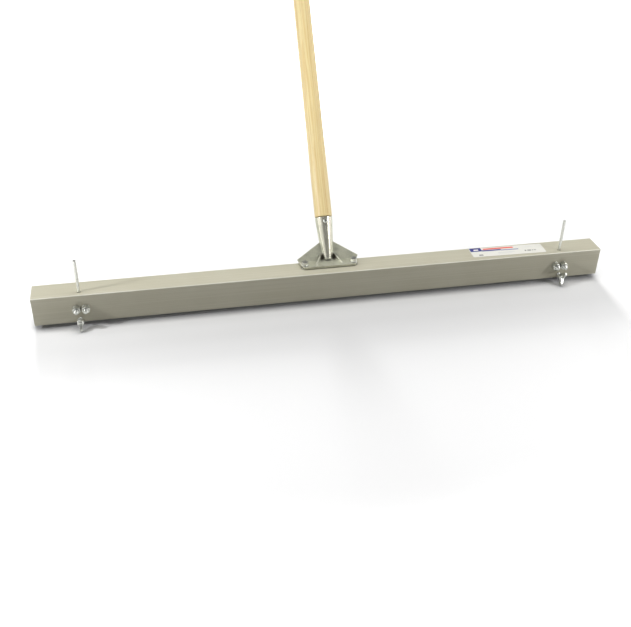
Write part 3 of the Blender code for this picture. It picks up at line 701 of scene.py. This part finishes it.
def make_label(material):
    """Thin vinyl film with rounded corners, stuck on a little askew."""
    low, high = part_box("label")
    place = Matrix.Translation(((low.x + high.x) / 2, (low.y + high.y) / 2, low.z))
    place = place @ Matrix.Rotation(LABEL_TURN, 4, "Z")
    outline = rectangle(LABEL_LENGTH, LABEL_WIDTH, LABEL_CORNER_RADIUS)
    mesh = mesh_from(prism(outline, 0, LABEL_THICKNESS), "label_film")
    add_piece("label_film", mesh, place, material, "screed", ["label"])


# -------- depth pin stations


def wing_axes():
    """Where each wing screw's axis leaves the bar's front face."""
    axes = {}
    for joint in frame["record"]["behaviour"]["joints"]:
        for side in SIDES:
            if joint["name"] == f"wing_{side}_turn":
                x, _, z = joint["pos_m"]
                axes[side] = (x, FRONT_Y, z)
    return axes


WING_AXES = wing_axes()


def make_pin(side, material):
    """Drawn rod with its ends rounded over."""
    low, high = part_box(f"depth_pin_{side}")
    radius = (high.x - low.x) / 2
    length = high.z - low.z
    middle = centre_of(f"depth_pin_{side}")
    profile = [(reach, PIN_NOSE - rise) for reach, rise in reversed(dome(radius, PIN_NOSE, 0, 6, 80))]
    profile += [(radius, height) for height in run(PIN_NOSE, length - PIN_NOSE, 24)[1:-1]]
    profile += dome(radius, PIN_NOSE, length - PIN_NOSE, 6, 80)
    mesh = mesh_from(lathe(profile, 40), f"pin_{side}")
    place = Matrix.Translation((middle.x, middle.y, low.z))
    name, node = f"pin_{side}", f"depth_pin_{side}"
    add_piece(name, mesh, place, material, name, [node])


def bolt_bmesh(end_out, head_low):
    """A block bolt: height 0 is the bar's front face, the head is in the bar and the threads in front."""
    under_head = head_low + BOLT_HEAD_HEIGHT
    round_start = end_out - BOLT_END_ROUND
    hex_reach = chamfered_hexagon(NUT_ACROSS_FLATS, head_low, under_head)
    profile = [(NUT_ACROSS_FLATS, height) for height in hex_heights(NUT_ACROSS_FLATS, head_low, under_head)]
    profile += [(BOLT_RADIUS, under_head + 0.00001), (BOLT_RADIUS, -0.002)]
    turns = (round_start + 0.001) / BOLT_PITCH
    profile += [(BOLT_RADIUS, height) for height in run(-0.001, round_start, round(turns * 10))]
    end = dome(1, BOLT_END_ROUND, round_start, 7, 84)[1:]
    profile += [(BOLT_RADIUS * share, height) for share, height in end]

    def reshape(radius, angle, height):
        if height <= under_head:
            return hex_reach(angle, height)
        if height < -0.0015:
            return radius
        return min(radius, BOLT_THREAD(angle, height))

    return lathe(profile, 48, reshape)


def nut_bmesh(low, high):
    """A hexagon nut with turned chamfers on both faces, countersunk and threaded inside."""
    hex_reach = chamfered_hexagon(NUT_ACROSS_FLATS, low, high)
    bore = BOLT_HOLE_RADIUS
    sink = 0.0005
    profile = [(NUT_ACROSS_FLATS, height) for height in hex_heights(NUT_ACROSS_FLATS, low, high)]
    profile += [(bore + sink, high), (bore, high - sink), (bore, low + sink), (bore + sink, low)]

    def reshape(radius, angle, height):
        return hex_reach(angle, height) if radius == NUT_ACROSS_FLATS else radius

    return lathe(profile, 72, reshape, closed=True)


def washer_bmesh(outer, low, high):
    """A spring washer: a bevelled square section swept most of the way round and sprung open."""
    ease = 0.0002
    spring = 0.00012
    sweep = math.radians(346)
    slant = math.radians(9)
    inner = WASHER_INNER_RADIUS
    section = [(inner + ease, low), (outer - ease, low), (outer, low + ease), (outer, high - ease)]
    section += [(outer - ease, high), (inner + ease, high), (inner, high - ease), (inner, low + ease)]
    loops = []
    for share in run(0, 1, 64):
        loop = []
        for radius, height in section:
            angle = sweep * share + slant * (height - low) / (high - low)
            lift = spring * (2 * share - 1)
            loop.append((radius * math.cos(angle), radius * math.sin(angle), height + lift))
        loops.append(loop)
    return loft(loops)


def make_block_fasteners(material):
    """Bolt, spring washer and nut at each of the four bolt places, each turned a little differently."""
    for side, sign in SIDES.items():
        for place, outwards in PLACES.items():
            label = f"{side}_{place}"
            spots = {node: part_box(f"{node}_{label}") for node in ("block_bolt", "lock_washer", "hex_nut")}
            bolt_low, bolt_high = spots["block_bolt"]
            washer_low, washer_high = spots["lock_washer"]
            nut_low, nut_high = spots["hex_nut"]
            middle = (bolt_low + bolt_high) / 2
            turn = Matrix.Rotation(math.radians(30 + sign * outwards * 8), 4, "Y")
            where = Matrix.Translation((middle.x, FRONT_Y, middle.z)) @ turn @ FACING_FRONT
            outer = (washer_high.z - washer_low.z) / 2
            makers = {
                "block_bolt": bolt_bmesh(FRONT_Y - bolt_low.y, FRONT_Y - bolt_high.y),
                "lock_washer": washer_bmesh(outer, FRONT_Y - washer_high.y, FRONT_Y - washer_low.y),
                "hex_nut": nut_bmesh(FRONT_Y - nut_high.y, FRONT_Y - nut_low.y),
            }
            for node, bm in makers.items():
                name = f"{node}_{label}"
                mesh = mesh_from(bm, f"fine_{name}", 30)
                add_piece(f"fine_{name}", mesh, where, material, "screed", [name])


# Wing screw, measured from the bar's front face outwards
WING_HUB_OUT = 0.0078
WING_HUB_TOP = 0.0153
WING_HUB_RADIUS = 0.0056
WING_LOBE_RADIUS = 0.0033
WING_LOBE_OUT = 0.0174
WING_SPAN = 0.0236
WING_SCREW_RADIUS = 0.0024
WING_PITCH = 0.00106
WING_THREAD_DEPTH = 0.0005
WING_REST_TURNS = {"left": math.radians(2), "right": math.radians(13)}
WING_ROOT_HALF_THICKNESS = 0.0024
WING_LOBE_HALF_THICKNESS = 0.0018
WING_VOXEL = 0.00022


def wing_bmesh(direction):
    """One wing: it leaves the hub thick and ends in a thinner round lobe."""
    lobe_centre = WING_SPAN / 2 - WING_LOBE_RADIUS
    outline = [(0, WING_HUB_OUT + 0.0008), (0.0030, WING_HUB_OUT + 0.0008)]
    for degrees in range(-60, 151, 10):
        angle = math.radians(degrees)
        out = lobe_centre + WING_LOBE_RADIUS * math.cos(angle)
        outline.append((out, WING_LOBE_OUT + WING_LOBE_RADIUS * math.sin(angle)))
    outline.append((0, WING_HUB_TOP - 0.0010))
    loops = []
    for face in (-1, 1):
        loop = []
        for out, height in outline:
            share = min(1, out / lobe_centre)
            half = WING_ROOT_HALF_THICKNESS + share * (WING_LOBE_HALF_THICKNESS - WING_ROOT_HALF_THICKNESS)
            loop.append((face * half, direction * out, height))
        loops.append(loop)
    return loft(loops)


def make_wing_screw(side, sign, material):
    """A cast wing head on a threaded shank."""
    _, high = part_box(f"wing_screw_{side}")
    tip = FRONT_Y - high.y
    crown = dome(WING_HUB_RADIUS - 0.0004, 0.0016, WING_HUB_TOP - 0.0016, 6, 60)
    hub_profile = [(0.0040, WING_HUB_OUT), (WING_HUB_RADIUS, WING_HUB_OUT + 0.0006), *crown]
    hub = helper("hub", lathe(hub_profile, 48))
    combine(hub, "UNION", [helper(f"wing{d}", wing_bmesh(d)) for d in (-1, 1)])
    soften(hub, WING_VOXEL, 5)
    reach = thread(WING_SCREW_RADIUS, WING_PITCH, WING_THREAD_DEPTH)
    length = WING_HUB_OUT + 0.001 - tip
    heights = run(tip, WING_HUB_OUT + 0.001, round(length / WING_PITCH * 8))
    shank_profile = [(WING_SCREW_RADIUS - WING_THREAD_DEPTH, tip)]
    shank_profile += [(WING_SCREW_RADIUS, height) for height in heights[2:]]
    shank = lathe(shank_profile, 40, lambda radius, angle, height: min(radius, reach(angle, height)))
    turn = Matrix.Rotation(sign * WING_REST_TURNS[side], 4, "Y")
    where = Matrix.Translation(WING_AXES[side]) @ turn @ FACING_FRONT
    node, body = f"wing_screw_{side}", f"wing_{side}"
    head_mesh = take_mesh(hub)
    shank_mesh = mesh_from(shank, f"wing_shank_{side}")
    add_piece(f"wing_head_{side}", head_mesh, where, material, body, [node])
    add_piece(f"wing_shank_{side}", shank_mesh, where, material, body, [node])


# -------- bracket and handle


def socket_radius(along):
    (foot_radius, foot), (rim_radius, rim) = SOCKET_FOOT, SOCKET_RIM
    return foot_radius + (rim_radius - foot_radius) * (along - foot) / (rim - foot)


def plate(half, thickness):
    """A flat plate in the plane of X and the handle's axis, from its right half's (x, along) points."""
    outline = half + [(-x, along) for x, along in reversed(half)]
    return loft([[(x, y, along) for x, along in outline] for y in (-thickness / 2, thickness / 2)])


def rib_helper(sign):
    """A thin wall from the base's front to the web, its top edge sloping down to the front."""
    front = Vector((sign * RIB_FRONT[0], RIB_FRONT[1], 0))
    rear = Vector((sign * RIB_REAR[0], RIB_REAR[1], 0))
    sideways = (rear - front).cross(UP).normalized() * RIB_HALF_THICKNESS
    foot = BASE_TOP_Z - 0.0025
    outline = [(front, foot), (rear, foot), (rear, BASE_TOP_Z + RIB_RISE), (front, BASE_TOP_Z + 0.0006)]
    loops = []
    for shift in (-sideways, sideways):
        loops.append([(*(place + shift).xy, z) for place, z in outline])
    return helper("rib", loft(loops))


def make_bracket(cast, ground):
    """The cast bracket: base, web, ribs and socket run together, with rounded edges and corners."""
    (front_x, front_y), rear_x, rear_y = BASE_FRONT_CORNER, BASE_REAR_HALF_LENGTH, BAR_HIGH.y
    corners = [(-front_x, front_y), (front_x, front_y), (rear_x, rear_y), (-rear_x, rear_y)]
    base = prism(rounded_outline(corners, BASE_CORNER_RADIUS), BASE_BOTTOM_Z, BASE_TOP_Z)
    bracket = helper("bracket", base)
    web = plate(WEB_CORNERS, WEB_THICKNESS)
    fins = plate(FIN_CORNERS, FIN_THICKNESS)
    cone_heights = run(SOCKET_FOOT[1], SOCKET_RIM[1], 30)
    cone = lathe([(socket_radius(along), along) for along in cone_heights], 96)
    joined = [helper("web", web, HANDLE_AXIS), helper("fins", fins, HANDLE_AXIS)]
    joined.append(helper("cone", cone, HANDLE_AXIS))
    joined += [rib_helper(sign) for sign in SIDES.values()]
    combine(bracket, "UNION", joined)
    past_rim = SOCKET_RIM[1] + 0.004
    bore_ends = (SOCKET_BORE_ALONG, past_rim)
    bore = lathe([(socket_radius(along) - SOCKET_WALL, along) for along in bore_ends], 96)
    screw_place = HANDLE_AXIS @ Matrix.Translation((0, 0, SCREW_ALONG)) @ FACING_FRONT
    cutters = [helper("bore", bore, HANDLE_AXIS)]
    screw_hole = lathe([(SCREW_HOLE_RADIUS, 0.001), (SCREW_HOLE_RADIUS, 0.03)], 32)
    cutters.append(helper("screw_hole", screw_hole, screw_place))
    for side in SIDES:
        spot = centre_of(f"bracket_bolt_{side}")
        where = Matrix.Translation((spot.x, spot.y, BASE_BOTTOM_Z))
        hole = lathe([(BOLT_HOLE_RADIUS, -0.01), (BOLT_HOLE_RADIUS, 0.01)], 32)
        cutters.append(helper("hole", hole, where))
        seat = lathe([(SEAT_RADIUS, -0.01), (SEAT_RADIUS, SEAT_RISE)], 48)
        cutters.append(helper("seat", seat, where))
    combine(bracket, "DIFFERENCE", cutters)
    soften(bracket, CAST_VOXEL, 4)
    mesh = take_mesh(bracket)
    piece = add_piece("bracket", mesh, UNTURNED, cast, "screed", ["handle_bracket"])
    piece.data.materials.append(ground)
    paint_socket(piece)


def paint_socket(piece):
    """Gives the ground finish to the faces on the socket's outer skin."""
    to_axis = HANDLE_AXIS.inverted()
    for face in piece.data.polygons:
        local = to_axis @ face.center
        radius = math.hypot(local.x, local.y)
        near_skin = abs(radius - socket_radius(local.z)) < SOCKET_SKIN
        between_fins = abs(local.x) < 0.84 * radius and local.y < 0
        if near_skin and between_fins and GROUND_FROM < local.z < SOCKET_RIM[1] + 0.001:
            face.material_index = 1


def flange_bolt_bmesh(seat, end, top):
    """A flanged hex bolt around +Z, its head dished on top."""
    hex_low = seat + FLANGE_HEIGHT
    rounding = 0.0002
    hex_reach = chamfered_hexagon(BRACKET_BOLT_ACROSS_FLATS, hex_low, top)
    profile = [(BOLT_RADIUS - 0.0006, end)]
    profile += [(BOLT_RADIUS, height) for height in run(end + 0.0006, seat, 90)]
    profile += [(FLANGE_RADIUS - rounding, seat), (FLANGE_RADIUS, seat + rounding)]
    profile.append((FLANGE_RADIUS, seat + FLANGE_HEIGHT / 2))
    rings = hex_heights(BRACKET_BOLT_ACROSS_FLATS, hex_low, top)[4:]
    profile += [(BRACKET_BOLT_ACROSS_FLATS, height) for height in rings]
    profile += [(0.0036, top), (0.0030, top - 0.0004), (0.0010, top - 0.0005)]

    def reshape(radius, angle, height):
        if radius == BRACKET_BOLT_ACROSS_FLATS:
            return hex_reach(angle, height)
        return min(radius, BOLT_THREAD(angle, height)) if height < seat - 0.0004 else radius

    return lathe(profile, 72, reshape)


def make_bracket_bolts(material):
    for side, sign in SIDES.items():
        node = f"bracket_bolt_{side}"
        low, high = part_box(node)
        middle = (low + high) / 2
        seat = BASE_TOP_Z + GAP
        mesh = mesh_from(flange_bolt_bmesh(seat, low.z, high.z), f"fine_{node}", 30)
        turn = Matrix.Rotation(math.radians(15 * sign), 4, "Z")
        where = Matrix.Translation((middle.x, middle.y, 0)) @ turn
        add_piece(f"fine_{node}", mesh, where, material, "screed", [node])


def make_handle(material):
    """A turned pole, a shade out of round, with its shoulder on the socket and its far end rounded."""
    inset = SOCKET_WALL + 0.00015
    foot = SOCKET_BORE_ALONG + GAP
    shoulder = SOCKET_RIM[1] + GAP
    shoulder_round = 0.0010
    end = foot + HANDLE_LENGTH
    profile = [(socket_radius(along) - inset, along) for along in (foot, shoulder)]
    for reach, rise in reversed(dome(HANDLE_RADIUS, shoulder_round, 0, 4, 24)):
        profile.append((reach, shoulder + shoulder_round - rise))
    for along in run(shoulder + 0.002, end - HANDLE_END_ROUND, 120):
        share = min(1, max(0, (along - shoulder - HANDLE_TAPER_START) / HANDLE_TAPER_LENGTH))
        profile.append((HANDLE_RADIUS + share * (HANDLE_UPPER_RADIUS - HANDLE_RADIUS), along))
    cap_radius = HANDLE_UPPER_RADIUS - HANDLE_END_ROUND
    for reach, height in dome(HANDLE_END_ROUND, HANDLE_END_ROUND, end - HANDLE_END_ROUND, 8, 86)[1:]:
        profile.append((cap_radius + reach, height))

    def reshape(radius, angle, height):
        if height <= shoulder + 0.0005:
            return radius
        return radius * (1 - HANDLE_OUT_OF_ROUND * (0.5 + 0.5 * math.sin(2 * angle + 5 * height)))

    mesh = mesh_from(lathe(profile, 96, reshape), "pole")
    add_piece("pole", mesh, HANDLE_AXIS, material, "screed", ["handle"])


def make_handle_screw(material):
    """A round-head screw with a crossed recess, through the front of the socket's rim."""
    seat = socket_radius(SCREW_ALONG + SCREW_HEAD_RADIUS) + GAP
    brim = 0.0002
    profile = [(0.0008, 0.0015), (SCREW_RADIUS, 0.0040), (SCREW_RADIUS, seat)]
    profile.append((SCREW_HEAD_RADIUS - brim, seat))
    profile += dome(SCREW_HEAD_RADIUS, SCREW_HEAD_HEIGHT, seat + brim, 10, 86)
    where = HANDLE_AXIS @ Matrix.Translation((0, 0, SCREW_ALONG)) @ FACING_FRONT
    screw = helper("screw", lathe(profile, 64))
    recess = []
    floor, past_crown = seat + 0.0003, seat + SCREW_HEAD_HEIGHT + 0.001
    for turn in (20, 110):
        slot = loft([slot_loop(0.0026, 0.0010, floor), slot_loop(0.0054, 0.0020, past_crown)])
        recess.append(helper(f"recess{turn}", slot, Matrix.Rotation(math.radians(turn), 4, "Z")))
    combine(screw, "DIFFERENCE", recess)
    mesh = take_mesh(screw)
    add_piece("fine_handle_screw", mesh, where, material, "screed", ["handle_screw"])


def slot_loop(width, depth, height):
    return [(x, y, height) for x, y in rectangle(width, depth, 0.0001, 2)]


# -------- studio


def add_camera():
    """Looks down along +Y turned a little towards +X, and rolled a little."""
    level = math.cos(CAMERA_ELEVATION)
    sideways, ahead = math.sin(CAMERA_AZIMUTH) * level, math.cos(CAMERA_AZIMUTH) * level
    forward = Vector((sideways, ahead, -math.sin(CAMERA_ELEVATION)))
    right = forward.cross(UP).normalized()
    up = right.cross(forward)
    rolled_right = right * math.cos(CAMERA_ROLL) + up * math.sin(CAMERA_ROLL)
    rolled_up = up * math.cos(CAMERA_ROLL) - right * math.sin(CAMERA_ROLL)
    axes = Matrix((rolled_right, rolled_up, -forward)).transposed().to_4x4()
    data = bpy.data.cameras.new("camera")
    data.lens = CAMERA_LENS
    camera = bpy.data.objects.new("camera", data)
    camera.matrix_world = Matrix.Translation(CAMERA_PLACE) @ axes
    bpy.context.scene.collection.objects.link(camera)
    bpy.context.scene.camera = camera


FLOOR_Z = CAD_LOW.z - 0.0002
FLOOR_RADIUS = 12
FLOOR_BOUNCE = (0.32, 0.32, 0.32, 1)
FLOOR_FADE = (0.42, 0.80)  # the floor turns from lit to white between these distances
FLOOR_FADE_SHAPE = (0.75, 1, 0)  # weights of x, y and z in that distance
WALL_RADIUS = 25
WALL_HEIGHT = 40


def add_floor(material):
    """A wide disc under the object's lowest point."""
    bm = bmesh.new()
    bmesh.ops.create_circle(bm, cap_ends=True, segments=96, radius=FLOOR_RADIUS)
    floor = bpy.data.objects.new("floor", mesh_from(bm, "floor"))
    floor.location = (0, 0, FLOOR_Z)
    floor.data.materials.append(material)
    bpy.context.scene.collection.objects.link(floor)
    return floor


def add_wall(material):
    """Carries the floor on in a cove and a round wall that only the camera sees."""
    cove = WALL_RADIUS - FLOOR_RADIUS
    profile = []
    for degrees in range(0, 91, 5):
        angle = math.radians(degrees)
        profile.append((FLOOR_RADIUS + cove * math.sin(angle), cove * (1 - math.cos(angle))))
    profile.append((WALL_RADIUS, WALL_HEIGHT))
    bm = lathe(profile, 96)
    caps = [face for face in bm.faces if len(face.verts) > 4]
    bmesh.ops.delete(bm, geom=caps, context="FACES_ONLY")
    wall = bpy.data.objects.new("wall", mesh_from(bm, "wall"))
    wall.location = (0, 0, FLOOR_Z)
    wall.data.materials.append(material)
    wall.visible_diffuse = False
    wall.visible_glossy = False
    wall.visible_shadow = False
    bpy.context.scene.collection.objects.link(wall)


def add_light(name, place, aim, width, height, power):
    data = bpy.data.lights.new(name, "AREA")
    data.shape = "RECTANGLE"
    data.size = width
    data.size_y = height
    data.energy = power
    light = bpy.data.objects.new(name, data)
    light.location = place
    light.rotation_mode = "QUATERNION"
    light.rotation_quaternion = (Vector(aim) - Vector(place)).to_track_quat("-Z", "Y")
    light.visible_camera = False
    bpy.context.scene.collection.objects.link(light)
    return light


def link_set(name, obj, state):
    """The collection that limits a light to one object (INCLUDE), or to all others (EXCLUDE)."""
    made = bpy.data.collections.new(name)
    made.objects.link(obj)
    made.collection_objects[0].light_linking.link_state = state
    return made


def add_backdrop_light(floor):
    """A tall column of light far behind, brightest low down, that draws the bar's shadow on the floor."""
    floor_only = link_set("floor_only", floor, "INCLUDE")
    all_but_pole = link_set("all_but_pole", bpy.data.objects["pole"], "EXCLUDE")
    for low, high, power in BACKDROP_BANDS:
        middle = (low + high) / 2
        facing = (0, 0, middle)
        light = add_light("backdrop", (0, BACKDROP_Y, middle), facing, BACKDROP_WIDTH, high - low, power)
        light.light_linking.receiver_collection = floor_only
        light.light_linking.blocker_collection = all_but_pole
        light.visible_glossy = False


# Light: the sky's plain strength, how much brighter shiny pieces see its left and right, and lamp powers
SKY_STRENGTH = 0.20
SIDE_GLOW = 0.75
SIDE_SPREAD = (0.45, 0.80)  # how far sideways a mirrored ray points as the glow comes in
LEFT_POWER = 5.4
RIGHT_POWER = 4.8
REAR_POWER = 1.5
OVERHEAD_POWER = 13
TOP_POWER = 26
REAR_FILL_POWER = 14
HANDLE_POWER = 0.05
BACKDROP_Y = 20.0
BACKDROP_WIDTH = 5.5
BACKDROP_BANDS = ((0, 6.6, 4375), (6.6, 9.5, 1940), (9.5, 16.4, 1190))  # low z, high z, power


def add_sky():
    """Even and dim on the object, white to the camera, with bright sides for shiny pieces to mirror."""
    world = bpy.data.worlds.new("studio")
    world.use_nodes = True
    bpy.context.scene.world = world
    sky = Nodes(world.node_tree)
    coords = sky.node("ShaderNodeTexCoord", {}).outputs["Generated"]
    sideways = sky.math("ABSOLUTE", sky.node("ShaderNodeSeparateXYZ", {0: coords}).outputs["X"])
    glow = sky.span(sideways, *SIDE_SPREAD, SKY_STRENGTH, SIDE_GLOW)
    path = sky.node("ShaderNodeLightPath", {}).outputs
    lit = {"Factor": path["Is Glossy Ray"], "A": SKY_STRENGTH, "B": glow}
    lit = sky.node("ShaderNodeMix", lit).outputs["Result"]
    shown = {"Factor": path["Is Camera Ray"], "A": lit, "B": 1.0}
    shown = sky.node("ShaderNodeMix", shown).outputs["Result"]
    background = sky.tree.nodes["Background"].inputs
    sky.feed(background["Color"], (1, 1, 1, 1))
    sky.feed(background["Strength"], shown)


def make_studio():
    bpy.context.scene.view_settings.view_transform = "Standard"
    add_camera()
    pale = floor_material()
    floor = add_floor(pale)
    add_wall(pale)
    add_sky()
    add_light("left", (-1.15, -0.19, 0.54), (-0.386, 0, BAR_TOP), 0.08, 0.08, LEFT_POWER)
    add_light("right", (1.15, -0.58, 0.60), (0.386, 0, BAR_TOP), 0.08, 0.08, RIGHT_POWER)
    for side, sign in SIDES.items():
        add_light(f"rear_{side}", (sign * 1.30, 0.38, 0.80), (0, 0, BAR_TOP), 0.16, 0.16, REAR_POWER)
    overhead = add_light("overhead", (0, 0.35, 2.20), (0, 0, 0), 2.40, 0.60, OVERHEAD_POWER)
    top = add_light("top", (0, 0.35, 2.20), (0, 0, 0), 2.40, 0.60, TOP_POWER)
    rear_fill = add_light("rear_fill", (0, 2.00, 1.10), (0, 0, BAR_TOP), 1.60, 0.80, REAR_FILL_POWER)
    all_but_floor = link_set("all_but_floor", floor, "EXCLUDE")
    for light in (top, rear_fill):
        light.light_linking.receiver_collection = all_but_floor
    add_backdrop_light(floor)
    handle_key = add_light("handle_key", (-0.25, -1.25, 1.05), (0, 0.18, 0.27), 0.30, 0.30, HANDLE_POWER)
    handle_key.data.spread = math.radians(20)
    for light in (overhead, top, rear_fill, handle_key):
        light.visible_glossy = False


# -------- assembly


def dress_inner_nodes(zinc):
    """Nodes inside the bar keep their CAD shape and get real surfaces."""
    machined, brass = machined_material(), brass_material()
    looks = {"guide_block": machined, "rivet_nut": zinc, "pressure_pad": brass}
    for node, material in looks.items():
        for side in SIDES:
            obj = frame["nodes"][f"{node}_{side}"]
            obj.data.materials.clear()
            obj.data.materials.append(material)


def make_object():
    zinc = zinc_material()
    make_bar(bar_material())
    make_end_plugs(plastic_material())
    make_label(label_material())
    for side, sign in SIDES.items():
        make_pin(side, zinc)
        make_wing_screw(side, sign, zinc)
    make_block_fasteners(zinc)
    make_bracket(cast_material(), ground_material())
    make_bracket_bolts(zinc)
    make_handle(wood_material())
    make_handle_screw(zinc)
    dress_inner_nodes(zinc)


make_object()
make_studio()
